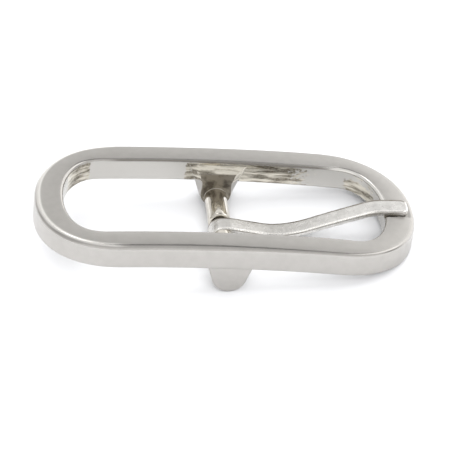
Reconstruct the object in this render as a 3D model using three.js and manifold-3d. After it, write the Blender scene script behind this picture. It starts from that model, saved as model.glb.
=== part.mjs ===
// Dress belt buckle for a 20 mm strap: an arched oval ring frame with two lugs hanging from the
// middle of its rails, a shouldered centre bar pressed into the lugs, and a prong that swings on it.
// Millimetres. X runs along the belt, Y across it, +Z is the face seen when worn.
// The origin is under the middle of the frame, level with the tips of the lugs.

import * as THREE from 'three';
import { mergeVertices } from 'three/addons/utils/BufferGeometryUtils.js';
import { ParametricGeometry } from 'three/addons/geometries/ParametricGeometry.js';
import Module from 'manifold-3d';

// Ring frame
const STRAP_WIDTH = 20;
const RAIL_WIDTH = 4.4;
const FRAME_HALF_LENGTH = 30.4;
const FRAME_HALF_WIDTH = STRAP_WIDTH / 2 + RAIL_WIDTH;
const OUTER_STRAIGHT = 16.65;
const INNER_STRAIGHT = 19.4;
const END_WIDTH_PRONG_SIDE = 4.9;
const END_WIDTH_LOOP_SIDE = 4.6;
const END_EXPONENT = 2.2;
const FRAME_THICKNESS = 4.0;
const ARCH_RADIUS = 336;
const ARCH_APEX_X = -1.3;
const TOP_OUTER_ROUND = 0.8;
const TOP_INNER_ROUND = 0.7;
const BOTTOM_INNER_ROUND = 0.45;
const BOTTOM_OUTER_ROUND = 0.15;
const RING_STEPS = 104;
const ROUND_STEPS = 2;
const RAIL_STEP_SHARE = 0.3;

// Lugs
const LUG_DROP = 8.5;
const LUG_X = -0.35;
const LUG_TIP_RADIUS = 2.75;
const LUG_FLANK_ANGLE = THREE.MathUtils.degToRad(18.6);
const LUG_BODY_Y = STRAP_WIDTH / 2 + 0.1;
const LUG_OUTER_Y = FRAME_HALF_WIDTH - 0.2;
const LUG_TOP_Z = -1.6;
const LUG_BEVEL = 0.25;
const BOSS_FACE_Y = 9.0;
const BOSS_DEPTH = 2.0;
const BOSS_TOP_Z = -1.0;
const BOSS_HALF_WIDTH = 2.6;

// Centre bar
const BAR_X = -0.3;
const BAR_Z = -6.62;
const BAR_RADIUS = 1.86;
const BAR_SEGMENTS = 24;
const BAR_END_GAP = 0.05;
const SPIGOT_RADIUS = 1.2;
const SPIGOT_LENGTH = 2.5;
const SOCKET_GAP = 0.1;
const SEAT_RADIUS = 0.75;
const SEAT_HALF_WIDTH = 1.95;
const SHOULDER_ROUND = 0.45;
const SHOULDER_MIDPOINT = 0.3;

// Prong
const PRONG_Y = -0.3;
const PRONG_THICKNESS = 0.85;
const EYE_THICKNESS = 0.75;
const PRONG_WIDTH_AT_BAR = 3.3;
const PRONG_WIDTH_AT_TIP = 3.6;
const PRONG_TIP_X = 29.3;
const PRONG_TIP_ROUND = 0.7;
const WIDENING_START_X = BAR_X + 3;
const THINNING_START = 0.55;
const THINNING_END = 0.75;
const PRONG_STEPS = 72;

// Shallow rest for the prong's tip in the end of the frame
const REST_FLOOR_Z = -1.52;
const REST_END_X = 29.7;
const REST_HALF_WIDTH = 2.0;

// Reach of the cutting shapes beyond what they cut
const CUT_MARGIN = 1;
const PLAN_LOW_Z = -10;
const PLAN_HEIGHT = 12;

const WELD_DISTANCE = 1e-4;

const wasm = await Module();
wasm.setup();

function toManifold(geometry) {
  const bare = geometry.index ? geometry.clone() : mergeVertices(geometry.clone());
  bare.deleteAttribute('normal');
  bare.deleteAttribute('uv');
  const merged = mergeVertices(bare, WELD_DISTANCE);
  return new wasm.Manifold(new wasm.Mesh({
    numProp: 3,
    vertProperties: new Float32Array(merged.attributes.position.array),
    triVerts: new Uint32Array(merged.index.array),
  }));
}

function toGeometry(solid) {
  const mesh = solid.getMesh();
  const geometry = new THREE.BufferGeometry();
  geometry.setAttribute('position', new THREE.BufferAttribute(mesh.vertProperties, 3));
  geometry.setIndex(new THREE.BufferAttribute(mesh.triVerts, 1));
  geometry.computeVertexNormals();
  return geometry;
}

// Extrudes a shape drawn in X and Z along Y, from yLow to yHigh
function extrudeAcross(shape, yLow, yHigh, bevel = 0) {
  const geometry = new THREE.ExtrudeGeometry(shape, {
    depth: yHigh - yLow - 2 * bevel,
    bevelEnabled: bevel > 0,
    bevelThickness: bevel,
    bevelSize: bevel,
    bevelOffset: -bevel,
    bevelSegments: 1,
    curveSegments: 10,
  });
  geometry.rotateX(Math.PI / 2);
  geometry.translate(0, yHigh - bevel, 0);
  return toManifold(geometry);
}

const archZ = (x) => -((x - ARCH_APEX_X) ** 2) / (2 * ARCH_RADIUS);

// Point on one quarter of an oval: a superelliptic end, then a straight rail
function quarterPoint(t, straight, reach, halfWidth) {
  const onEnd = Math.min(1, t / (1 - RAIL_STEP_SHARE));
  const onRail = Math.max(0, (t - (1 - RAIL_STEP_SHARE)) / RAIL_STEP_SHARE);
  const angle = onEnd * (Math.PI / 2);
  const power = 2 / END_EXPONENT;
  return {
    x: (reach - straight) * Math.abs(Math.cos(angle)) ** power + straight * (1 - onRail),
    y: halfWidth * Math.sin(angle) ** power,
  };
}

// Point on a whole oval at a share of one turn, counted from its prong end
function ovalPoint(turn, straight, reachPlus, reachMinus, halfWidth) {
  const quarter = Math.floor(turn * 4) % 4;
  const part = turn * 4 - Math.floor(turn * 4);
  const t = quarter % 2 === 1 ? 1 - part : part;
  const signX = quarter === 0 || quarter === 3 ? 1 : -1;
  const signY = quarter < 2 ? 1 : -1;
  const { x, y } = quarterPoint(t, straight, signX > 0 ? reachPlus : reachMinus, halfWidth);
  return { x: signX * x, y: signY * y };
}

// The ring's section, once round: each point's inset from the outer or the inner wall, and its height
function ringSection() {
  const corners = [
    { fromOuter: true, z: 0, round: TOP_OUTER_ROUND, start: Math.PI },
    { fromOuter: false, z: 0, round: TOP_INNER_ROUND, start: Math.PI / 2 },
    { fromOuter: false, z: -FRAME_THICKNESS, round: BOTTOM_INNER_ROUND, start: 0 },
    { fromOuter: true, z: -FRAME_THICKNESS, round: BOTTOM_OUTER_ROUND, start: -Math.PI / 2 },
  ];
  return corners.flatMap(({ fromOuter, z, round, start }) => {
    const centreZ = z === 0 ? -round : z + round;
    return Array.from({ length: ROUND_STEPS + 1 }, (_, k) => {
      const angle = start - (k / ROUND_STEPS) * (Math.PI / 2);
      const across = round * Math.cos(angle);
      const inset = fromOuter ? round + across : round - across;
      return { fromOuter, inset, z: centreZ + round * Math.sin(angle) };
    });
  });
}

function ringGeometry() {
  const section = ringSection();
  const wall = (u, point) => {
    const reach = FRAME_HALF_LENGTH;
    const outer = ovalPoint(u, OUTER_STRAIGHT, reach, reach, FRAME_HALF_WIDTH);
    const inner = ovalPoint(u, INNER_STRAIGHT, reach - END_WIDTH_PRONG_SIDE,
      reach - END_WIDTH_LOOP_SIDE, STRAP_WIDTH / 2);
    const width = Math.hypot(outer.x - inner.x, outer.y - inner.y);
    const share = point.fromOuter ? point.inset / width : 1 - point.inset / width;
    return {
      x: outer.x + (inner.x - outer.x) * share,
      y: outer.y + (inner.y - outer.y) * share,
    };
  };
  const surface = (u, v, target) => {
    const point = section[Math.round(v * section.length) % section.length];
    const turn = Math.round(u * RING_STEPS) % RING_STEPS / RING_STEPS;
    const { x, y } = wall(turn, point);
    target.set(x, y, point.z + archZ(x));
  };
  return new ParametricGeometry(surface, RING_STEPS, section.length);
}

// Lug outline in X and Z: straight flanks running down into a round tip
function lugShape() {
  const tipZ = LUG_TIP_RADIUS - LUG_DROP;
  const flankX = LUG_TIP_RADIUS * Math.cos(LUG_FLANK_ANGLE);
  const flankZ = tipZ - LUG_TIP_RADIUS * Math.sin(LUG_FLANK_ANGLE);
  const topX = flankX + (LUG_TOP_Z - flankZ) * Math.tan(LUG_FLANK_ANGLE);
  const shape = new THREE.Shape();
  shape.moveTo(LUG_X + topX, LUG_TOP_Z);
  shape.lineTo(LUG_X - topX, LUG_TOP_Z);
  shape.absarc(LUG_X, tipZ, LUG_TIP_RADIUS, Math.PI + LUG_FLANK_ANGLE, -LUG_FLANK_ANGLE, false);
  shape.closePath();
  return shape;
}

// Boss on the lug's inner side, which carries the bar's socket
function bossShape() {
  const tipZ = LUG_TIP_RADIUS - LUG_DROP;
  const shape = new THREE.Shape();
  shape.moveTo(LUG_X + BOSS_HALF_WIDTH, BOSS_TOP_Z);
  shape.lineTo(LUG_X - BOSS_HALF_WIDTH, BOSS_TOP_Z);
  shape.absarc(LUG_X, tipZ, BOSS_HALF_WIDTH, Math.PI, 2 * Math.PI, false);
  shape.closePath();
  return shape;
}

function diskShape(x, z, radius) {
  const shape = new THREE.Shape();
  shape.absarc(x, z, radius, 0, 2 * Math.PI, false);
  return shape;
}

function restShape() {
  const inside = FRAME_HALF_LENGTH - END_WIDTH_PRONG_SIDE - CUT_MARGIN;
  const shape = new THREE.Shape();
  shape.moveTo(inside, REST_FLOOR_Z);
  shape.lineTo(REST_END_X, REST_FLOOR_Z);
  shape.lineTo(REST_END_X, CUT_MARGIN);
  shape.lineTo(inside, CUT_MARGIN);
  shape.closePath();
  return shape;
}

function makeFrame() {
  let solid = toManifold(ringGeometry());
  for (const side of [-1, 1]) {
    const across = (shape, near, far, bevel) => {
      const ends = [side * near, side * far].sort((a, b) => a - b);
      return extrudeAcross(shape, ends[0], ends[1], bevel);
    };
    const bossEndY = BOSS_FACE_Y + BOSS_DEPTH;
    const socketEndY = BOSS_FACE_Y + SPIGOT_LENGTH + SOCKET_GAP;
    const socket = diskShape(BAR_X, BAR_Z, SPIGOT_RADIUS + SOCKET_GAP);
    solid = solid
      .add(across(lugShape(), LUG_BODY_Y, LUG_OUTER_Y, LUG_BEVEL))
      .add(across(bossShape(), BOSS_FACE_Y, bossEndY, LUG_BEVEL))
      .subtract(across(socket, BOSS_FACE_Y - CUT_MARGIN, socketEndY, 0));
  }
  const rest = extrudeAcross(restShape(), PRONG_Y - REST_HALF_WIDTH, PRONG_Y + REST_HALF_WIDTH);
  return toGeometry(solid.subtract(rest));
}

// Turned bar: spigots at both ends, full diameter between, and a narrow seat for the prong's eye
function makeBar() {
  const bodyEnd = BOSS_FACE_Y - BAR_END_GAP;
  const midway = SHOULDER_MIDPOINT * SHOULDER_ROUND;
  const profile = [new THREE.Vector2(0, -bodyEnd - SPIGOT_LENGTH)];
  profile.push(new THREE.Vector2(SPIGOT_RADIUS, -bodyEnd - SPIGOT_LENGTH));
  profile.push(new THREE.Vector2(SPIGOT_RADIUS, -bodyEnd));
  profile.push(new THREE.Vector2(BAR_RADIUS, -bodyEnd));
  for (const side of [-1, 1]) {
    const shoulderY = PRONG_Y + side * SEAT_HALF_WIDTH;
    const edge = [
      new THREE.Vector2(BAR_RADIUS, shoulderY + side * SHOULDER_ROUND),
      new THREE.Vector2(BAR_RADIUS - midway, shoulderY + side * midway),
      new THREE.Vector2(BAR_RADIUS - SHOULDER_ROUND, shoulderY),
      new THREE.Vector2(SEAT_RADIUS, shoulderY),
    ];
    profile.push(...(side < 0 ? edge : edge.reverse()));
  }
  profile.push(new THREE.Vector2(BAR_RADIUS, bodyEnd));
  profile.push(new THREE.Vector2(SPIGOT_RADIUS, bodyEnd));
  profile.push(new THREE.Vector2(SPIGOT_RADIUS, bodyEnd + SPIGOT_LENGTH));
  profile.push(new THREE.Vector2(0, bodyEnd + SPIGOT_LENGTH));
  const geometry = new THREE.LatheGeometry(profile, BAR_SEGMENTS);
  geometry.translate(BAR_X, 0, BAR_Z);
  return geometry;
}

// Middle line of the prong, in X and Z, from its tip to the closed end of its eye
function prongLine() {
  const points = [
    [PRONG_TIP_X, -1.0], [26, -1.06], [23.6, -1.32], [20, -2.62], [16.4, -4.02], [12, -5.72],
    [8, -6.38], [4, -5.9], [1.4, -5.5], [-0.1, -5.46], [-1.1, -5.74], [-1.68, -6.5],
    [-1.86, -7.35], [-1.5, -7.96], [-0.6, -8.1], [0.45, -8.0], [1.15, -7.45], [1.35, -6.35],
  ];
  return new THREE.SplineCurve(points.map(([x, z]) => new THREE.Vector2(x, z)));
}

function prongProfile() {
  const line = prongLine();
  const upper = [];
  const lower = [];
  for (let k = 0; k <= PRONG_STEPS; k += 1) {
    const share = k / PRONG_STEPS;
    const point = line.getPointAt(share);
    const tangent = line.getTangentAt(share);
    const thinning = THREE.MathUtils.smoothstep(share, THINNING_START, THINNING_END);
    const half = THREE.MathUtils.lerp(PRONG_THICKNESS, EYE_THICKNESS, thinning) / 2;
    const normal = new THREE.Vector2(tangent.y, -tangent.x);
    upper.push(point.clone().addScaledVector(normal, half));
    lower.push(point.clone().addScaledVector(normal, -half));
  }
  return new THREE.Shape([...upper, ...lower.reverse()]);
}

// Outline of the prong seen from above, widening a little from the bar to its round-cornered tip
function prongPlan() {
  const backX = BAR_X - BAR_RADIUS - CUT_MARGIN;
  const tipHalf = PRONG_WIDTH_AT_TIP / 2;
  const barHalf = PRONG_WIDTH_AT_BAR / 2;
  const cornerX = PRONG_TIP_X - PRONG_TIP_ROUND;
  const cornerY = tipHalf - PRONG_TIP_ROUND;
  const shape = new THREE.Shape();
  shape.moveTo(backX, PRONG_Y - barHalf);
  shape.lineTo(WIDENING_START_X, PRONG_Y - barHalf);
  shape.lineTo(cornerX, PRONG_Y - tipHalf);
  shape.absarc(cornerX, PRONG_Y - cornerY, PRONG_TIP_ROUND, -Math.PI / 2, 0, false);
  shape.absarc(cornerX, PRONG_Y + cornerY, PRONG_TIP_ROUND, 0, Math.PI / 2, false);
  shape.lineTo(WIDENING_START_X, PRONG_Y + barHalf);
  shape.lineTo(backX, PRONG_Y + barHalf);
  shape.closePath();
  return shape;
}

function makeProng() {
  const reach = PRONG_WIDTH_AT_TIP / 2 + CUT_MARGIN;
  const side = extrudeAcross(prongProfile(), PRONG_Y - reach, PRONG_Y + reach);
  const plan = new THREE.ExtrudeGeometry(prongPlan(), {
    depth: PLAN_HEIGHT,
    bevelEnabled: false,
    curveSegments: 5,
  });
  plan.translate(0, 0, PLAN_LOW_Z);
  return toGeometry(side.intersect(toManifold(plan)));
}

const group = new THREE.Group();
group.position.z = LUG_DROP;

function addPiece(name, geometry, color, roughness) {
  const material = new THREE.MeshStandardMaterial({ color, roughness, metalness: 1 });
  const mesh = new THREE.Mesh(geometry, material);
  mesh.name = name;
  group.add(mesh);
}

addPiece('frame', makeFrame(), 0xb8b6b0, 0.38);
addPiece('centre_bar', makeBar(), 0xa89e90, 0.2);
addPiece('prong', makeProng(), 0xc4c2bd, 0.34);

export default group;
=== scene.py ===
"""Dress belt buckle: satin nickel ring frame with lugs, bright centre bar and a peened prong.

Shapes are worked out in millimetres, in the frame's own axes: X along the belt, Y across it,
Z out of the face seen when worn, with the origin level with the lug tips.
"""
import math

import bmesh
import bpy
import numpy as np
from mathutils import Matrix, Vector


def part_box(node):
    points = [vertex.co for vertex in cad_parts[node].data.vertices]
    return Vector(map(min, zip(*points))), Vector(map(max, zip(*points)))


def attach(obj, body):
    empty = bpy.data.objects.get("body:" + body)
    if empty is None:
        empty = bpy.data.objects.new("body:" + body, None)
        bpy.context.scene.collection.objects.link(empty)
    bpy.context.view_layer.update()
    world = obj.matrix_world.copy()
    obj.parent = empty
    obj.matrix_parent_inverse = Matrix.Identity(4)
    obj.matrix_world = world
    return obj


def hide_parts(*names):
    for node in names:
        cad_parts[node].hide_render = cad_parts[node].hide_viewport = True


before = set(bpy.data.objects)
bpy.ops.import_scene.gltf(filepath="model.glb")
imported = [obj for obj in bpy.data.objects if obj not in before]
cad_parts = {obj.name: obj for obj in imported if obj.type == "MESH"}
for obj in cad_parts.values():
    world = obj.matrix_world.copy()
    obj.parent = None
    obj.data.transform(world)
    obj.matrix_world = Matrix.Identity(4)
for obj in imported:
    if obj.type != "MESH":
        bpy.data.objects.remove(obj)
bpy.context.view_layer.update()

MM = 0.001
FRAME_LOW, FRAME_HIGH = (np.array(corner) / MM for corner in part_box("frame"))
BAR_LOW, BAR_HIGH = (np.array(corner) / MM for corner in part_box("centre_bar"))
PRONG_LOW, PRONG_HIGH = (np.array(corner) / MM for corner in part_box("prong"))

# Ring frame
STRAP_WIDTH = 20.0
HALF_LENGTH = (FRAME_HIGH[0] - FRAME_LOW[0]) / 2
HALF_WIDTH = (FRAME_HIGH[1] - FRAME_LOW[1]) / 2
TOP_Z = FRAME_HIGH[2]
OUTER_STRAIGHT = 16.65
INNER_STRAIGHT = 19.4
END_WIDTH_PRONG_SIDE = 4.9
END_WIDTH_LOOP_SIDE = 4.6
END_EXPONENT = 2.2
THICKNESS = 4.0
ARCH_RADIUS = 336.0
ARCH_APEX_X = -1.3
TOP_CROWN = 0.12
TOP_OUTER_ROUND = 0.85
TOP_OUTER_ROUND_PRONG_SIDE = 0.5
TOP_INNER_ROUND = 0.3
TOP_INNER_ROUND_ENDS = 0.62
BOTTOM_INNER_ROUND = 0.4
BOTTOM_OUTER_ROUND = 0.15

# Lugs
LUG_X = -0.35
LUG_TIP_RADIUS = 2.75
LUG_FLANK_ANGLE = math.radians(18.6)
LUG_FACE_Y = HALF_WIDTH - 0.2
BOSS_FACE_Y = 9.0
LUG_EDGE = 0.28
LUG_BODY_DROP = 1.3
LUG_DRAFT_START_Y = 10.05
LUG_DRAFT_DROP = 0.8
LUG_DRAFT_SLOPE = 1.2
LUG_FACE_DROP = LUG_DRAFT_DROP + LUG_DRAFT_SLOPE
LUG_FACE_INSET_TOP = 1.15
LUG_FACE_INSET_TIP = 0.22
LUG_FACE_EDGE = 0.1
LUG_FLARE = 0.3

# Centre bar
BAR_X = (BAR_LOW[0] + BAR_HIGH[0]) / 2
BAR_Z = (BAR_LOW[2] + BAR_HIGH[2]) / 2
BAR_RADIUS = (BAR_HIGH[0] - BAR_LOW[0]) / 2
BAR_ROOT = 0.4
BAR_ROOT_FLARE = 0.08
BAR_SHOULDER = 0.45
BAR_SHOULDER_FOOT = 1.0
SPIGOT_RADIUS = 1.2
SPIGOT_LENGTH = 1.2
SEAT_RADIUS = 0.7
SEAT_HALF_WIDTH = 1.95

# Prong
PRONG_Y = (PRONG_LOW[1] + PRONG_HIGH[1]) / 2
PRONG_TIP_X = PRONG_HIGH[0]
PRONG_THICKNESS = 0.85
EYE_THICKNESS = 0.75
PRONG_HALF_AT_BAR = 1.65
PRONG_HALF_AT_TIP = 1.8
PRONG_CORNER = 1.2
PRONG_EDGE = 0.26

# Rest for the prong's tip
REST_FLOOR_Z = TOP_Z - 1.5
REST_HALF_WIDTH = 1.92
REST_END_X = 29.4
REST_POCKET = 0.35

# Studio floor
FLOOR_HALF_SIZE = 4000
FLOOR_GAP = 0.01
LUG_ZONE_X = 6
END_ZONE_X = 20
STEEPEST_TILT = 0.3

# Camera
VIEW_AZIMUTH = math.radians(-9.656)
VIEW_ELEVATION = math.radians(34.189)
VIEW_ROLL = math.radians(7.373)
VIEW_DISTANCE = 348.51
VIEW_SHIFT_RIGHT = -0.303
VIEW_SHIFT_UP = -4.679
SENSOR_MM = 36.0
FOCAL_PER_FRAME_WIDTH = 2200 / 450


def smoothstep(low, high, value):
    t = np.clip((np.asarray(value, float) - low) / (high - low), 0.0, 1.0)
    return t * t * (3 - 2 * t)


def mesh_object(name, vertices, faces, attributes=None, smooth=True):
    mesh = bpy.data.meshes.new(name)
    mesh.from_pydata((np.asarray(vertices) * MM).tolist(), [], faces)
    mesh.update()
    for label, values in (attributes or {}).items():
        layer = mesh.attributes.new(label, "FLOAT", "POINT")
        layer.data.foreach_set("value", np.asarray(values, np.float32))
    if smooth:
        mesh.shade_smooth()
    piece = bpy.data.objects.new(name, mesh)
    bpy.context.collection.objects.link(piece)
    return piece


def grid_faces(rows, columns, close_rows, close_columns):
    """Quads over a grid of points, row by row."""
    faces = []
    for i in range(rows if close_rows else rows - 1):
        for j in range(columns if close_columns else columns - 1):
            a = i * columns + j
            b = i * columns + (j + 1) % columns
            c = ((i + 1) % rows) * columns + (j + 1) % columns
            d = ((i + 1) % rows) * columns + j
            faces.append((a, b, c, d))
    return faces


def loft(name, rows, attributes=None):
    """A closed body through rings of points, capped at both ends."""
    count = len(rows[0])
    faces = grid_faces(len(rows), count, False, True)
    faces.append(tuple(range(count)))
    faces.append(tuple(reversed(range((len(rows) - 1) * count, len(rows) * count))))
    piece = mesh_object(name, np.concatenate(rows), faces, attributes)
    face_outwards(piece)
    return piece


def face_outwards(piece):
    shape = bmesh.new()
    shape.from_mesh(piece.data)
    bmesh.ops.recalc_face_normals(shape, faces=shape.faces)
    shape.to_mesh(piece.data)
    shape.free()


def bake_modifiers(piece):
    """Replaces the piece's mesh with what its modifiers make of it."""
    depsgraph = bpy.context.evaluated_depsgraph_get()
    made = bpy.data.meshes.new_from_object(piece.evaluated_get(depsgraph))
    piece.modifiers.clear()
    piece.data = made


# ---------------------------------------------------------------- ring frame

def arch_z(x):
    return TOP_Z - (np.asarray(x) - ARCH_APEX_X) ** 2 / (2 * ARCH_RADIUS)


def quarter_angles():
    """Angles round one quarter of the oval, closer together where the prong's rest is cut."""
    fine_until = 24
    fine = np.linspace(0, fine_until, 121)
    coarse = np.linspace(fine_until, 90, 72)[1:]
    return np.radians(np.concatenate([fine, coarse]))


def quarter_oval(straight, reach, half_width):
    """One quarter of an oval, from its end to the middle of its rail."""
    angles, rail_steps = quarter_angles(), 56
    power = 2 / END_EXPONENT
    x = straight + (reach - straight) * np.cos(angles) ** power
    y = half_width * np.sin(angles) ** power
    x[-1], y[-1] = straight, half_width
    rail_x = np.linspace(straight, 0, rail_steps + 1)[1:]
    return np.column_stack([np.append(x, rail_x), np.append(y, np.full(rail_steps, half_width))])


def full_oval(straight, reach_plus, reach_minus, half_width):
    plus = quarter_oval(straight, reach_plus, half_width)
    minus = quarter_oval(straight, reach_minus, half_width)
    return np.concatenate([
        plus,
        (minus * [-1, 1])[::-1][1:],
        (minus * [-1, -1])[1:],
        (plus * [1, -1])[::-1][1:-1],
    ])


def ring_section(outer_round, inner_round):
    """Section points as (inset from outer wall, inset from inner wall, height, share between).

    Each point takes its place from the first of the three that is given.
    """
    def corner(radius, start, steps):
        angles = np.radians(start) - np.linspace(0, math.pi / 2, steps)
        return [(radius * math.cos(a), radius * math.sin(a)) for a in angles]

    points = []
    for across, up in corner(outer_round, 180, 14):
        points.append((outer_round + across, None, up - outer_round, None))
    for share in np.linspace(0, 1, 16)[1:-1]:
        points.append((None, None, 0, (outer_round, inner_round, share)))
    for across, up in corner(inner_round, 90, 12):
        points.append((None, inner_round - across, up - inner_round, None))
    for height in np.linspace(-inner_round, BOTTOM_INNER_ROUND - THICKNESS, 14)[1:-1]:
        points.append((None, 0, height, None))
    for across, up in corner(BOTTOM_INNER_ROUND, 0, 8):
        points.append((None, BOTTOM_INNER_ROUND - across, up + BOTTOM_INNER_ROUND - THICKNESS, None))
    for share in np.linspace(0, 1, 8)[1:-1]:
        points.append((None, None, -THICKNESS, (BOTTOM_OUTER_ROUND, BOTTOM_INNER_ROUND, 1 - share)))
    for across, up in corner(BOTTOM_OUTER_ROUND, -90, 5):
        points.append((BOTTOM_OUTER_ROUND + across, None, up + BOTTOM_OUTER_ROUND - THICKNESS, None))
    for height in np.linspace(BOTTOM_OUTER_ROUND - THICKNESS, -outer_round, 10)[1:-1]:
        points.append((0, None, height, None))
    return points


# Masks on the surface of the ring, 0 to 1. They were placed from the photo, and the pale and
# dark lines among them partly stand in for reflections of the photographer's studio.
#   polish_and_painted_sheen  bright, smoother plate instead of satin on parts of the inner walls, streaked
#   with painted reflections, dark and light
#   wall    inner wall
#   edge    rounded top edges, smoother than the satin
#   painted_highlight  painted highlight: a pale line on the outer rounding of the loop end and the inner
#       rounding of the far prong end
#   dull    painted reflection: a dark line on the inner rounding of the rails
#   cast_and_rest_shade  dark, rough cast metal on the inner faces of the lugs; painted shade on the floor
#   of the rest, under the prong's tip
#   ledge_highlight  painted highlight: lighter metal on the top of the lugs, inside the rails

def ring_row(outer, inner, outer_round, inner_round, pale_outside):
    """One section of the ring, with its masks, between an outer and an inner wall point."""
    across = inner - outer
    width = np.linalg.norm(across)
    row, masks = [], []
    for from_outer, from_inner, height, between in ring_section(outer_round, inner_round):
        if from_outer is not None:
            share = from_outer / width
        elif from_inner is not None:
            share = 1 - from_inner / width
        else:
            start, end = between[0] / width, 1 - between[1] / width
            share = start + (end - start) * between[2]
        x, y = outer + across * share
        crown = TOP_CROWN * (2 * share - 1) ** 2 * float(smoothstep(-1.2, 0, height))
        row.append((x, y, arch_z(x) + height - crown))
        wall = float(smoothstep(0.9, 0.97, share) * smoothstep(-0.25, -0.5, height)
                     * smoothstep(-THICKNESS, 0.4 - THICKNESS, height))
        at_top = float(smoothstep(-outer_round - 0.2, -outer_round * 0.5, height))
        rounded = max(float(smoothstep(0.2, 0.1, share)), float(smoothstep(0.84, 0.9, share)))
        # Painted highlights: a pale line along the outer rounding of the loop end and along the inner
        # rounding of the far prong end.
        outer_highlight = (pale_outside * smoothstep(-0.3, -0.12, height / outer_round)
                      * smoothstep(0.24, 0.18, share))
        inner_highlight = (smoothstep(15, 21, x) * smoothstep(0, 2, y) * smoothstep(0.86, 0.9, share)
                      * smoothstep(-0.75, -0.45, height / inner_round))
        painted_highlight = float(max(outer_highlight, inner_highlight))
        # Painted dark reflection: a dark line along the inner rounding of the rails.
        dull = float(smoothstep(0.86, 0.9, share) * smoothstep(19, 16, abs(x))
                     * smoothstep(-0.03, -0.08, height) * smoothstep(-0.36, -0.26, height))
        masks.append((wall * polish_and_sheen_zone(x, abs(y), height), wall, at_top * rounded, painted_highlight, dull))
    return row, masks


def polish_and_sheen_zone(x, off_middle, height):
    """How far an inner wall is bright plate, streaked with painted reflections: round the lugs and in the
    corners.
    """
    by_lug = smoothstep(-5.75, -5.35, x) * smoothstep(19, 8, x)
    loop_corner = smoothstep(-20.9, -21.3, x) * smoothstep(5.0, 6.5, off_middle)
    prong_corner = smoothstep(19.8, 21.6, x) * smoothstep(4.0, 5.5, off_middle)
    prong_corner *= 0.35 + 0.65 * smoothstep(-1.2, -2.6, height)
    return float(max(by_lug, 0.8 * loop_corner, prong_corner))


def make_ring():
    outer = full_oval(OUTER_STRAIGHT, HALF_LENGTH, HALF_LENGTH, HALF_WIDTH)
    inner = full_oval(INNER_STRAIGHT, HALF_LENGTH - END_WIDTH_PRONG_SIDE,
                      HALF_LENGTH - END_WIDTH_LOOP_SIDE, STRAP_WIDTH / 2)
    rows, masks = [], []
    for outer_point, inner_point in zip(outer, inner):
        towards_loop = float(smoothstep(-15.5, -19, outer_point[0]))
        towards_prong = float(smoothstep(-8, 14, outer_point[0]))
        outer_round = TOP_OUTER_ROUND + (TOP_OUTER_ROUND_PRONG_SIDE - TOP_OUTER_ROUND) * towards_prong
        inner_round = TOP_INNER_ROUND + (TOP_INNER_ROUND_ENDS - TOP_INNER_ROUND) * float(
            smoothstep(15, 21, inner_point[0]) + smoothstep(-20.5, -23.5, inner_point[0]))
        row, row_masks = ring_row(outer_point, inner_point, outer_round, inner_round, towards_loop)
        rows.append(row)
        masks.append(row_masks)
    points, rest = cut_rest(np.array(rows))
    masks = np.array(masks).reshape(-1, 5)
    faces = grid_faces(points.shape[0], points.shape[1], True, True)
    ring = mesh_object("frame_body", points.reshape(-1, 3), faces,
                       {"polish_and_painted_sheen": masks[:, 0], "wall": masks[:, 1], "edge": masks[:, 2],
                        "painted_highlight": masks[:, 3], "dull": masks[:, 4], "cast_and_rest_shade": rest.ravel(),
                        "ledge_highlight": np.zeros(len(masks))})
    face_outwards(ring)
    return ring


def cut_rest(points):
    """Presses the shallow rest for the prong's tip into the ring; also gives the mask of painted shade on
    its floor.
    """
    x, y, z = points[..., 0], points[..., 1], points[..., 2]
    top = arch_z(x)
    depth = np.maximum(top - REST_FLOOR_Z, 0)
    off = np.abs(y - PRONG_Y)
    pocket = REST_POCKET * smoothstep(28.0, 26.2, x) * (y < PRONG_Y)
    inside = smoothstep(REST_HALF_WIDTH + 0.16, REST_HALF_WIDTH - 0.04, off - pocket)
    inside *= smoothstep(REST_END_X + 0.25, REST_END_X - 0.1, x) * smoothstep(20, 22, x)
    near_top = smoothstep(-3.0, -0.8, z - top)
    points[..., 2] = z - depth * inside * near_top
    # Painted shade on the floor of the rest, under the prong's tip, darkest towards the inner edge of the
    # ring.
    rest_shade_mask = smoothstep(0.3, 0.8, inside) * smoothstep(-1.3, -0.7, z - top) * smoothstep(28.2, 27.4, x)
    return points, rest_shade_mask


def lug_outline(inset_top, inset_tip, flare, top_z):
    """Right flank, round tip and left flank of a lug, in X and Z, drawn in by the insets."""
    radius = LUG_TIP_RADIUS - inset_tip
    full_x = LUG_TIP_RADIUS * math.cos(LUG_FLANK_ANGLE)
    flank_z = LUG_TIP_RADIUS * (1 - math.sin(LUG_FLANK_ANGLE))
    tangent_z = LUG_TIP_RADIUS - radius * math.sin(LUG_FLANK_ANGLE)
    heights = np.linspace(top_z, tangent_z, 40)
    blend = smoothstep(flank_z, TOP_Z - 3.4, heights)
    side = full_x + (heights - flank_z) * math.tan(LUG_FLANK_ANGLE)
    side = side - (inset_tip / math.cos(LUG_FLANK_ANGLE) * (1 - blend) + inset_top * blend)
    side = side + flare * smoothstep(TOP_Z - 4.1, TOP_Z - 2.2, heights)
    angles = np.linspace(-LUG_FLANK_ANGLE, LUG_FLANK_ANGLE - math.pi, 36)
    tip = np.column_stack([radius * np.cos(angles), LUG_TIP_RADIUS + radius * np.sin(angles)])
    right = np.column_stack([side, heights])
    left = np.column_stack([-side[::-1], heights[::-1]])
    top_x = np.linspace(-side[0], side[0], 16)[1:-1]
    top = np.column_stack([top_x, np.full(len(top_x), top_z)])
    outline = np.concatenate([right, tip[1:-1], left, top])
    outline[:, 0] += LUG_X
    return outline


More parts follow.
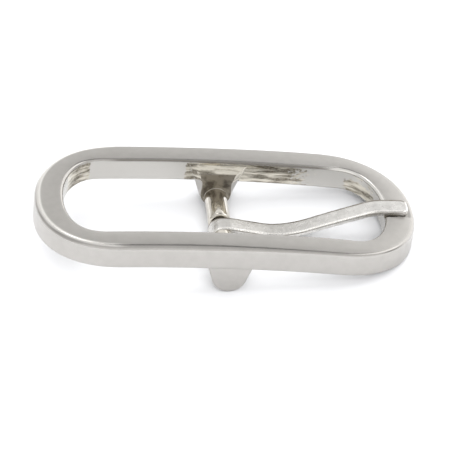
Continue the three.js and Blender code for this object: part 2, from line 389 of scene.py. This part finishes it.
def make_lug(side):
    """A lug: rounded outer face, straight body, and a drafted inner face round the bar's end.

    Each layer is (y, inset at the top, inset at the tip, flare, top).
    """
    body_top = TOP_Z - LUG_BODY_DROP
    draft_end_y = BOSS_FACE_Y + LUG_FACE_EDGE
    rim, face_rim = 0.2, 0.3  # flat rings inside both faces, which keep the shading of the edges clean
    layers = [(LUG_FACE_Y, LUG_EDGE + rim, LUG_EDGE + rim, 0, body_top - rim)]
    for angle in np.radians(np.linspace(90, 0, 7)):
        inset = LUG_EDGE * (1 - math.cos(angle))
        y = LUG_FACE_Y - LUG_EDGE + LUG_EDGE * math.sin(angle)
        layers.append((y, inset, inset, 0, body_top))
    for y in np.linspace(LUG_FACE_Y - LUG_EDGE, LUG_DRAFT_START_Y, 8)[1:]:
        layers.append((y, 0, 0, 0, body_top))
    for step in np.linspace(0, 1, 12)[1:]:
        y = LUG_DRAFT_START_Y + (draft_end_y - LUG_DRAFT_START_Y) * step
        flare = LUG_FLARE * (1 - math.sqrt(max(0.0, 1 - (1 - step) ** 2)))
        layers.append((y, LUG_FACE_INSET_TOP * step, LUG_FACE_INSET_TIP * step, flare,
                       TOP_Z - LUG_DRAFT_DROP - LUG_DRAFT_SLOPE * step))
    for angle in np.radians(np.linspace(0, 90, 5))[1:]:
        inset = LUG_FACE_EDGE * (1 - math.cos(angle))
        layers.append((draft_end_y - LUG_FACE_EDGE * math.sin(angle), LUG_FACE_INSET_TOP + inset,
                       LUG_FACE_INSET_TIP + inset, 0, TOP_Z - LUG_FACE_DROP - inset))
    layers.append((BOSS_FACE_Y, LUG_FACE_INSET_TOP + face_rim, LUG_FACE_INSET_TIP + face_rim, 0,
                   TOP_Z - LUG_FACE_DROP - face_rim))
    rows = []
    for y, inset_top, inset_tip, flare, top_z in layers:
        outline = lug_outline(inset_top, inset_tip, flare, top_z)
        rows.append(np.column_stack([outline[:, 0], np.full(len(outline), side * y), outline[:, 1]]))
    return loft("lug", rows)


def mask_lugs(piece):
    """Sets the masks round the lugs, where the union leaves meaningless values."""
    points = np.array([vertex.co for vertex in piece.data.vertices]) / MM
    x, off_middle = points[:, 0], np.abs(points[:, 1])
    height = points[:, 2] - arch_z(x)
    half_strap = STRAP_WIDTH / 2
    by_lug = np.abs(x - LUG_X) < 5
    behind_face = off_middle > BOSS_FACE_Y + 0.06
    on_face = ((off_middle < BOSS_FACE_Y + 0.06) & by_lug).astype(float)
    on_lug = by_lug & ((height < 0.1 - THICKNESS) | (off_middle < half_strap - 0.01))
    by_wall = (behind_face & (off_middle < half_strap - 0.02) & by_lug) * smoothstep(-4.0, -3.0, height)
    # Painted highlight on the top of the lugs inside the rails, and a painted glint at the left corner of
    # each lug.
    ledge_highlight = (behind_face & (off_middle < half_strap + 0.02)
             ) * smoothstep(-0.25, -0.5, height) * smoothstep(6.4, 4.6, x)
    ledge_highlight *= np.maximum(smoothstep(-2.5, -1.9, height), smoothstep(3.0, 3.6, x))
    corner_glint = (np.abs(x + 3.55) < 0.2) & (height > -2.2)
    ledge_highlight *= np.maximum(smoothstep(-2.2, 0.6, x), corner_glint)
    for name, extra in (("cast_and_rest_shade", on_face), ("polish_and_painted_sheen", by_wall), ("wall", by_wall), ("ledge_highlight", ledge_highlight),
                        ("edge", 0), ("painted_highlight", 0), ("dull", 0)):
        layer = piece.data.attributes[name]
        values = np.empty(len(points), np.float32)
        layer.data.foreach_get("value", values)
        values[on_lug] = 0
        layer.data.foreach_set("value", np.maximum(values, extra).astype(np.float32))


def make_frame_body():
    ring = make_ring()
    for side in (-1, 1):
        lug = make_lug(side)
        union = ring.modifiers.new("join_lug", "BOOLEAN")
        union.operation = "UNION"
        union.solver = "EXACT"
        union.object = lug
        bake_modifiers(ring)
        bpy.data.objects.remove(lug)
    mask_lugs(ring)
    ring.data.shade_smooth()
    ring.data.set_sharp_from_angle(angle=math.radians(32))
    return ring


# ---------------------------------------------------------------- centre bar

def bar_half_profile(end, seat):
    """Radius and distance along the bar, from its spigot's end to the floor of the seat."""
    profile = [(SPIGOT_RADIUS, end + SPIGOT_LENGTH), (SPIGOT_RADIUS, end)]
    for angle in np.radians(np.linspace(0, 90, 8)):
        flare = BAR_ROOT_FLARE * (1 - math.sin(angle))
        profile.append((BAR_RADIUS + flare, end - BAR_ROOT * (1 - math.cos(angle))))
    for along in np.linspace(end - BAR_ROOT, seat + BAR_SHOULDER, 9)[1:]:
        profile.append((BAR_RADIUS, along))
    for angle in np.radians(np.linspace(90, 0, 7))[1:]:
        radius = BAR_RADIUS - BAR_SHOULDER + BAR_SHOULDER * math.sin(angle)
        profile.append((radius, seat + BAR_SHOULDER - BAR_SHOULDER * math.cos(angle)))
    profile += [(BAR_SHOULDER_FOOT, seat), (SEAT_RADIUS + 0.04, seat - 0.06), (SEAT_RADIUS, seat - 0.2)]
    return profile


def make_bar():
    """Turned round its axis: flared roots, rounded shoulders and the narrow seat of the prong."""
    end = BOSS_FACE_Y - 0.02
    segments = 96
    near = [(r, PRONG_Y - y) for r, y in bar_half_profile(end + PRONG_Y, SEAT_HALF_WIDTH)]
    far = [(r, PRONG_Y + y) for r, y in bar_half_profile(end - PRONG_Y, SEAT_HALF_WIDTH)]
    turns = np.linspace(0, 2 * math.pi, segments + 1)[:-1]
    rows = [np.column_stack([BAR_X + r * np.cos(turns), np.full(segments, y), BAR_Z + r * np.sin(turns)])
            for r, y in near + far[::-1]]
    bar = loft("centre_bar_turned", rows)
    bar.data.set_sharp_from_angle(angle=math.radians(50))
    return bar


# ---------------------------------------------------------------- prong

def prong_line():
    """Middle line of the prong, in X and Z, from its tip to the closed end of its eye."""
    knots = [
        (PRONG_TIP_X, -1.0), (26, -1.06), (23.6, -1.32), (20, -2.62), (16.4, -4.02), (12, -5.72),
        (8, -6.38), (4, -5.9), (1.4, -5.5), (-0.1, -5.46), (-1.1, -5.74), (-1.68, -6.5),
        (-1.86, -7.35), (-1.5, -7.96), (-0.6, -8.1), (0.45, -8.0), (1.15, -7.45), (1.35, -6.35),
    ]
    points = np.array(knots) + [0, TOP_Z]
    padded = np.vstack([2 * points[0] - points[1], points, 2 * points[-1] - points[-2]])
    curve, steps = [], 24
    for i in range(1, len(padded) - 2):
        p0, p1, p2, p3 = padded[i - 1:i + 3]
        for t in np.linspace(0, 1, steps, endpoint=False):
            curve.append(0.5 * (2 * p1 + (p2 - p0) * t + (2 * p0 - 5 * p1 + 4 * p2 - p3) * t ** 2
                                + (3 * p1 - 3 * p2 + p3 - p0) * t ** 3))
    curve.append(points[-1])
    return np.array(curve)


def resample(curve, spacing):
    step = np.linalg.norm(np.diff(curve, axis=0), axis=1)
    length = np.concatenate([[0], np.cumsum(step)])
    count = int(length[-1] / spacing) + 1
    along = np.linspace(0, length[-1], count)
    return np.column_stack([np.interp(along, length, curve[:, k]) for k in (0, 1)]), along


def smooth_line(points, passes):
    for _ in range(passes):
        points[1:-1] = (points[:-2] + 2 * points[1:-1] + points[2:]) / 4
    return points


def prong_section(half_width, half_thick, edge):
    """Rounded rectangle as (across, through, mask of dark edge, mask of painted highlight).

    The far top edge and the near side under its top edge are dark, and the near top edge has a painted
    highlight.
    """
    points = []
    for sign_y, sign_t, start in ((1, 1, 0), (-1, 1, 90), (-1, -1, 180), (1, -1, 270)):
        for angle in np.linspace(start, start + 90, 9):
            turn = math.radians(angle)
            far_line = (sign_y > 0) * (sign_t > 0) * (0.4 + 0.6 * smoothstep(0, 25, angle))
            near_line = smoothstep(140, 156, angle) * smoothstep(181, 172, angle)
            dark = float(max(far_line, near_line, 0.4 * smoothstep(290, 310, angle)))
            # Painted highlight on the rounding of the near top edge.
            polish_and_painted_sheen = float((sign_y < 0) * (sign_t > 0) * smoothstep(150, 136, angle))
            points.append((sign_y * (half_width - edge) + edge * math.cos(turn),
                           sign_t * (half_thick - edge) + edge * math.sin(turn), dark, polish_and_painted_sheen))
        if (sign_y, sign_t) in ((1, 1), (-1, -1)):
            reach = half_width - edge
            places = np.concatenate([[0.97, 0.91, 0.85], np.linspace(0.8, -0.75, 8),
                                     [-0.84, -0.9, -0.97]])
            for share in places:
                dark = (sign_t > 0) * float(smoothstep(0.78, 0.9, share))
                # Painted highlight on the near part of the top.
                polish_and_painted_sheen = (sign_t > 0) * float(smoothstep(-0.8, -0.9, share))
                points.append((sign_y * reach * share, sign_t * half_thick, dark, polish_and_painted_sheen))
    return np.array(points)


def make_prong():
    line, along = resample(prong_line(), 0.1)
    line = smooth_line(line, 14)
    tangent = np.gradient(line, axis=0)
    tangent /= np.linalg.norm(tangent, axis=1)[:, None]
    normal = np.column_stack([tangent[:, 1], -tangent[:, 0]])
    total = along[-1]
    thin = smoothstep(0.55 * total, 0.75 * total, along)
    half_thick = (PRONG_THICKNESS + (EYE_THICKNESS - PRONG_THICKNESS) * thin) / 2
    narrow = smoothstep(PRONG_TIP_X, BAR_X + 3, line[:, 0])
    half_width = PRONG_HALF_AT_TIP + (PRONG_HALF_AT_BAR - PRONG_HALF_AT_TIP) * narrow
    rows, masks = [], []
    for i, distance in enumerate(along):
        short_of_corner = max(0.0, PRONG_CORNER - distance)
        pull = PRONG_CORNER - math.sqrt(max(PRONG_CORNER ** 2 - short_of_corner ** 2, 0.0))
        nearest_end = min(distance, total - distance)
        short_of_edge = max(0.0, PRONG_EDGE - nearest_end)
        flat = PRONG_EDGE - math.sqrt(max(PRONG_EDGE ** 2 - short_of_edge ** 2, 0.0))
        half = half_thick[i] - flat * 0.9
        section = prong_section(half_width[i] - pull, half, min(PRONG_EDGE, half * 0.95))
        across, through = section[:, 0], section[:, 1]
        rows.append(np.column_stack([line[i, 0] + normal[i, 0] * through, PRONG_Y + across,
                                     line[i, 1] + normal[i, 1] * through]))
        # Painted highlight round the rounded edge of the tip.
        tip_edge = float(smoothstep(0.45, 0.2, distance))
        masks.append(np.column_stack([section[:, 2] * (1 - tip_edge),
                                      np.maximum(section[:, 3], tip_edge)]))
    masks = np.concatenate(masks)
    prong = loft("prong_strip", rows, {"dark_edges": masks[:, 0], "edge": masks[:, 1]})
    prong.data.set_sharp_from_angle(angle=math.radians(50))
    return prong


# ---------------------------------------------------------------- materials

# Colours of the metals, linear; a pair is the range of a procedural variation
SATIN = ((0.487, 0.470, 0.446), (0.463, 0.447, 0.423))
SATIN_ON_WALLS = (0.56, 0.545, 0.515)
# Painted reflections on the polished inner walls: dark and light streaks
REFLECTION_STREAK_DARK = ((0.15, 0.132, 0.103), (0.31, 0.285, 0.235))
REFLECTION_STREAK_LIGHT = (0.70, 0.66, 0.57)
# Cast metal of the lug faces; also used as painted shade on the floor of the rest
CAST_TONES_AND_REST_SHADE = ((0.115, 0.10, 0.08), (0.30, 0.272, 0.225))
# Painted highlight line on the ring's roundings
PAINTED_HIGHLIGHT_TONE = (0.84, 0.82, 0.78)
# Painted dark reflection on the inner rounding of the rails
DARK_REFLECTION_TONE = (0.24, 0.225, 0.205)
BRIGHT_BAR = ((0.70, 0.665, 0.60), (0.62, 0.585, 0.52))
PEENED = ((0.78, 0.765, 0.735), (0.66, 0.645, 0.62))
# Painted highlight on the prong's edges
PAINTED_EDGE_HIGHLIGHT = (0.93, 0.91, 0.87)
DARK_EDGE_TONE = (0.22, 0.195, 0.16)


def new_material(name, base, roughness):
    """A metal; base and roughness are plain values, over which the textures are linked later."""
    material = bpy.data.materials.new(name)
    material.use_nodes = True
    tree = material.node_tree
    shader = tree.nodes["Principled BSDF"]
    shader.inputs["Base Color"].default_value = (*base, 1)
    shader.inputs["Metallic"].default_value = 1.0
    shader.inputs["Roughness"].default_value = roughness
    return material, tree, shader


def noise(tree, scale, detail=2.0, stretch=(1, 1, 1)):
    """Noise in object space; scale is in features per millimetre."""
    coords = tree.nodes.new("ShaderNodeTexCoord")
    mapping = tree.nodes.new("ShaderNodeMapping")
    mapping.inputs["Scale"].default_value = [s / MM * scale for s in stretch]
    texture = tree.nodes.new("ShaderNodeTexNoise")
    texture.inputs["Scale"].default_value = 1.0
    texture.inputs["Detail"].default_value = detail
    tree.links.new(coords.outputs["Object"], mapping.inputs["Vector"])
    tree.links.new(mapping.outputs["Vector"], texture.inputs["Vector"])
    return texture.outputs["Fac"]


def remap(tree, value, low, high, from_low=0.35, from_high=0.65):
    node = tree.nodes.new("ShaderNodeMapRange")
    node.inputs["From Min"].default_value = from_low
    node.inputs["From Max"].default_value = from_high
    node.inputs["To Min"].default_value = low
    node.inputs["To Max"].default_value = high
    tree.links.new(value, node.inputs["Value"])
    return node.outputs["Result"]


def attribute(tree, name):
    node = tree.nodes.new("ShaderNodeAttribute")
    node.attribute_name = name
    return node.outputs["Fac"]


def calculate(tree, operation, *values, clamp=True):
    node = tree.nodes.new("ShaderNodeMath")
    node.operation = operation
    node.use_clamp = clamp
    for socket, value in zip(node.inputs, values):
        if isinstance(value, (int, float)):
            socket.default_value = value
        else:
            tree.links.new(value, socket)
    return node.outputs["Value"]


def blend(tree, share, low, high, kind="FLOAT"):
    """low where share is 0 and high where it is 1; each is a constant or a socket."""
    node = tree.nodes.new("ShaderNodeMix")
    node.data_type = kind
    inputs = [socket for socket in node.inputs if socket.enabled]
    for socket, value in ((inputs[1], low), (inputs[2], high)):
        if isinstance(value, (int, float)):
            socket.default_value = value
        elif isinstance(value, tuple):
            socket.default_value = (*value, 1)
        else:
            tree.links.new(value, socket)
    tree.links.new(share, inputs[0])
    return next(socket for socket in node.outputs if socket.enabled)


def blend_colours(tree, share, low, high):
    return blend(tree, share, low, high, "RGBA")


def bump(tree, shader, layers):
    """Chains bump layers of (height, strength, distance in millimetres)."""
    previous = None
    for height, strength, distance in layers:
        node = tree.nodes.new("ShaderNodeBump")
        if isinstance(strength, (int, float)):
            node.inputs["Strength"].default_value = strength
        else:
            tree.links.new(strength, node.inputs["Strength"])
        node.inputs["Distance"].default_value = distance * MM
        tree.links.new(height, node.inputs["Height"])
        if previous is not None:
            tree.links.new(previous, node.inputs["Normal"])
        previous = node.outputs["Normal"]
    tree.links.new(previous, shader.inputs["Normal"])


def satin_nickel():
    """Satin plate outside; bright plate on the inner walls round the lugs and corners, streaked with
    painted reflections.

    The masks are explained above ring_row.
    """
    material, tree, shader = new_material("satin_nickel", (0.475, 0.459, 0.435), 0.34)
    edge, wall, cast_and_rest_shade, painted_highlight, dull, ledge_highlight = (
        attribute(tree, name) for name in ("edge", "wall", "cast_and_rest_shade", "painted_highlight", "dull", "ledge_highlight"))
    ragged = calculate(tree, "ADD", attribute(tree, "polish_and_painted_sheen"),
                       remap(tree, noise(tree, 1.3, 3, (1, 1, 1.5)), -0.3, 0.3))
    polish_and_painted_sheen = remap(tree, ragged, 0, 1, 0.45, 0.6)
    streaks = noise(tree, 1.0, 4, (0.28, 0.28, 1.5))
    speckle = noise(tree, 3.2, 3)

    satin = blend_colours(tree, remap(tree, noise(tree, 0.8, 3), 0, 1), *SATIN)
    # Painted reflections: dark and light streaks on the polished inner walls.
    dark_streak_reflection = blend_colours(tree, remap(tree, speckle, 0, 1, 0.4, 0.6), *REFLECTION_STREAK_DARK)
    # The ledge mask adds a painted highlight to the streaks.
    lightness = calculate(tree, "ADD", remap(tree, streaks, 0, 1, 0.42, 0.6),
                          calculate(tree, "MULTIPLY", ledge_highlight, 0.7))
    streaky_reflection = blend_colours(tree, lightness, dark_streak_reflection, REFLECTION_STREAK_LIGHT)
    cast_and_rest_shade_colour = blend_colours(tree, remap(tree, noise(tree, 0.7, 4), 0, 1, 0.4, 0.58), *CAST_TONES_AND_REST_SHADE)
    plate = blend_colours(tree, wall, satin, SATIN_ON_WALLS)
    colour = blend_colours(tree, polish_and_painted_sheen, plate, streaky_reflection)
    # Painted highlight lines over the plate.
    colour = blend_colours(tree, painted_highlight, colour, PAINTED_HIGHLIGHT_TONE)
    # Painted dark reflection along the inner rounding of the rails.
    colour = blend_colours(tree, dull, colour, DARK_REFLECTION_TONE)
    # Cast metal on the lug faces, and painted shade on the floor of the rest.
    tree.links.new(blend_colours(tree, cast_and_rest_shade, colour, cast_and_rest_shade_colour), shader.inputs["Base Color"])

    cloud = remap(tree, noise(tree, 0.35, 3), 0.31, 0.38)
    rounded = blend(tree, edge, cloud, 0.2)
    inner = blend(tree, wall, rounded, 0.26)
    tree.links.new(blend(tree, polish_and_painted_sheen, inner, 0.12), shader.inputs["Roughness"])

    bump(tree, shader, [
        (noise(tree, 7, 2), 0.3, 0.016),
        (streaks, calculate(tree, "MULTIPLY", polish_and_painted_sheen, 0.5), 0.12),
        (speckle, calculate(tree, "MULTIPLY", polish_and_painted_sheen, 0.35), 0.04),
    ])
    return material


def bright_nickel():
    material, tree, shader = new_material("bright_nickel", (0.66, 0.625, 0.56), 0.12)
    tint = blend_colours(tree, remap(tree, noise(tree, 0.9, 3), 0, 1), *BRIGHT_BAR)
    tree.links.new(tint, shader.inputs["Base Color"])
    tree.links.new(remap(tree, noise(tree, 0.9, 3), 0.07, 0.15), shader.inputs["Roughness"])
    bump(tree, shader, [(noise(tree, 0.7, 2, (1, 0.4, 1)), 0.3, 0.1)])
    return material


def peened_nickel():
    material, tree, shader = new_material("peened_nickel", (0.82, 0.80, 0.765), 0.34)
    # Darker along the far top edge and under the near top edge.
    dark_edges = calculate(tree, "MULTIPLY", attribute(tree, "dark_edges"),
                        remap(tree, noise(tree, 1.5, 3, (0.5, 1, 1)), 0.7, 1.0))
    edge = attribute(tree, "edge")
    face = blend_colours(tree, remap(tree, noise(tree, 0.9, 3), 0, 1), *PEENED)
    # Painted highlight along the near top edge and round the tip.
    face = blend_colours(tree, edge, face, PAINTED_EDGE_HIGHLIGHT)
    tree.links.new(blend_colours(tree, dark_edges, face, DARK_EDGE_TONE), shader.inputs["Base Color"])
    dull = remap(tree, noise(tree, 1.6, 3), 0.24, 0.42)
    tree.links.new(blend(tree, edge, dull, 0.2), shader.inputs["Roughness"])
    bump(tree, shader, [(noise(tree, 2.6, 3), 0.6, 0.07), (noise(tree, 6, 2), 0.6, 0.03)])
    return material


def plain_white():
    """Matt, slightly cool studio paper."""
    material = bpy.data.materials.new("studio_paper")
    material.use_nodes = True
    shader = material.node_tree.nodes["Principled BSDF"]
    shader.inputs["Base Color"].default_value = (0.74, 0.745, 0.76, 1)
    shader.inputs["Roughness"].default_value = 0.9
    shader.inputs["Specular IOR Level"].default_value = 0.1
    return material


# ---------------------------------------------------------------- studio

def floor_plane(pieces):
    """The plane on which the buckle rests: both lug tips and the prong end of the frame."""
    points = np.concatenate([
        np.array([vertex.co for vertex in piece.data.vertices]) / MM for piece in pieces
    ])
    lug = points[np.abs(points[:, 0]) < LUG_ZONE_X]
    end = points[points[:, 0] > END_ZONE_X]
    low, high = 0.0, STEEPEST_TILT
    for _ in range(40):
        tilt = (low + high) / 2
        normal = np.array([-math.sin(tilt), 0, math.cos(tilt)])
        if (end @ normal).min() > (lug @ normal).min():
            low = tilt
        else:
            high = tilt
    return normal, min((end @ normal).min(), (lug @ normal).min())


def make_floor(normal, height):
    corners = [(-1, -1, 0), (1, -1, 0), (1, 1, 0), (-1, 1, 0)]
    floor = mesh_object("studio_floor", FLOOR_HALF_SIZE * np.array(corners), [(0, 1, 2, 3)], smooth=False)
    floor.rotation_mode = "QUATERNION"
    floor.rotation_quaternion = Vector((0, 0, 1)).rotation_difference(Vector(normal))
    floor.location = Vector(normal) * (height - FLOOR_GAP) * MM
    floor.data.materials.append(plain_white())


def make_light(name, location, size, power):
    """A soft light from above, aimed at the buckle, that is not mirrored in the metal."""
    data = bpy.data.lights.new(name, "AREA")
    data.shape = "SQUARE"
    data.size = size
    data.energy = power
    light = bpy.data.objects.new(name, data)
    bpy.context.collection.objects.link(light)
    light.location = location
    light.rotation_mode = "QUATERNION"
    light.rotation_quaternion = (-Vector(location)).to_track_quat("-Z", "Y")
    light.visible_glossy = False


# Area lights: name, place and size in metres, power in watts
LIGHTS = [
    ("front_softbox", (0.0, -1.1, 0.8), 1.2, 19.0),
    ("back_softbox", (-0.1, 0.5, 1.0), 1.6, 13.0),
]
# Soft boxes of the tent: direction, inner and outer half-angle in degrees, added radiance
SOFT_BOXES = [
    ((-0.30, 0.40, 0.87), 5, 12, 2.0),
    ((0.60, 0.12, 0.79), 14, 25, 0.95),
    ((0.75, 0.62, 0.30), 24, 36, 0.6),
]
# Dark patches of the tent: direction, inner and outer half-angle in degrees, share taken away
DARK_PATCHES = [
    ((0.16, 0.36, 0.92), 6, 28, 0.68),
    ((-0.88, -0.20, 0.43), 14, 32, 0.3),
    ((-0.82, 0.36, 0.42), 12, 28, 0.28),
    ((-0.60, 0.76, 0.20), 12, 28, 0.25),
    ((0.93, 0.02, 0.37), 10, 26, 0.45),
]
# Radiance of the tent itself against the height of the direction (0 level, 1 straight up)
TENT_STOPS = [(0.0, 1.15), (0.35, 1.08), (0.56, 1.02), (0.75, 0.82), (1.0, 0.78)]


def make_world():
    """A soft tent, with the bright panels and dark patches that the roundings and walls mirror."""
    world = bpy.data.worlds.new("studio_tent")
    bpy.context.scene.world = world
    world.use_nodes = True
    tree = world.node_tree
    coords = tree.nodes.new("ShaderNodeTexCoord")

    def cone(direction, inner, outer):
        dot = tree.nodes.new("ShaderNodeVectorMath")
        dot.operation = "DOT_PRODUCT"
        dot.inputs[1].default_value = Vector(direction).normalized()
        tree.links.new(coords.outputs["Generated"], dot.inputs[0])
        edge = tree.nodes.new("ShaderNodeMapRange")
        edge.interpolation_type = "SMOOTHSTEP"
        edge.inputs["From Min"].default_value = math.cos(math.radians(outer))
        edge.inputs["From Max"].default_value = math.cos(math.radians(inner))
        tree.links.new(dot.outputs["Value"], edge.inputs["Value"])
        return edge.outputs["Result"]

    def arithmetic(operation, left, right):
        return calculate(tree, operation, left, right, clamp=False)

    split = tree.nodes.new("ShaderNodeSeparateXYZ")
    tree.links.new(coords.outputs["Generated"], split.inputs["Vector"])
    ramp = tree.nodes.new("ShaderNodeValToRGB")
    tree.links.new(split.outputs["Z"], ramp.inputs["Fac"])
    while len(ramp.color_ramp.elements) < len(TENT_STOPS):
        ramp.color_ramp.elements.new(0.5)
    for element, (place, grey) in zip(ramp.color_ramp.elements, TENT_STOPS):
        element.position = place
        element.color = (grey, grey, grey, 1)
    total = ramp.outputs["Color"]
    for direction, inner, outer, taken in DARK_PATCHES:
        kept = arithmetic("SUBTRACT", 1.0, arithmetic("MULTIPLY", cone(direction, inner, outer), taken))
        total = arithmetic("MULTIPLY", total, kept)
    for direction, inner, outer, added in SOFT_BOXES:
        total = arithmetic("ADD", total, arithmetic("MULTIPLY", cone(direction, inner, outer), added))
    tree.links.new(total, tree.nodes["Background"].inputs["Color"])
    tree.nodes["Background"].inputs["Strength"].default_value = 1.0


def make_camera():
    sin, cos = math.sin, math.cos
    back = Vector((sin(VIEW_AZIMUTH) * cos(VIEW_ELEVATION),
                   -cos(VIEW_AZIMUTH) * cos(VIEW_ELEVATION), sin(VIEW_ELEVATION)))
    level_right = Vector((cos(VIEW_AZIMUTH), sin(VIEW_AZIMUTH), 0))
    level_up = back.cross(level_right)
    right = cos(VIEW_ROLL) * level_right + sin(VIEW_ROLL) * level_up
    up = -sin(VIEW_ROLL) * level_right + cos(VIEW_ROLL) * level_up
    target = VIEW_SHIFT_RIGHT * right + VIEW_SHIFT_UP * up + Vector((0, 0, TOP_Z))
    data = bpy.data.cameras.new("camera")
    data.sensor_width = SENSOR_MM
    data.lens = SENSOR_MM * FOCAL_PER_FRAME_WIDTH
    data.clip_start, data.clip_end = 0.01, 20
    camera = bpy.data.objects.new("camera", data)
    bpy.context.collection.objects.link(camera)
    rotation = Matrix((right, up, back)).transposed().to_4x4()
    camera.matrix_world = Matrix.Translation((target + back * VIEW_DISTANCE) * MM) @ rotation
    bpy.context.scene.camera = camera


# ---------------------------------------------------------------- assembly

def place(piece, material, body, node, slot):
    piece.data.materials.clear()
    piece.data.materials.append(material)
    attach(piece, body)
    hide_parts(node)
    return piece


make_camera()
body = place(make_frame_body(), satin_nickel(), "frame", "frame", "satin_nickel")
bar = place(make_bar(), bright_nickel(), "frame", "centre_bar", "bright_nickel")
prong = place(make_prong(), peened_nickel(), "prong", "prong", "peened_nickel")

floor_normal, floor_height = floor_plane([body, bar, prong])
make_floor(floor_normal, floor_height)
make_world()
for light_settings in LIGHTS:
    make_light(*light_settings)
bpy.context.scene.view_settings.view_transform = "Standard"
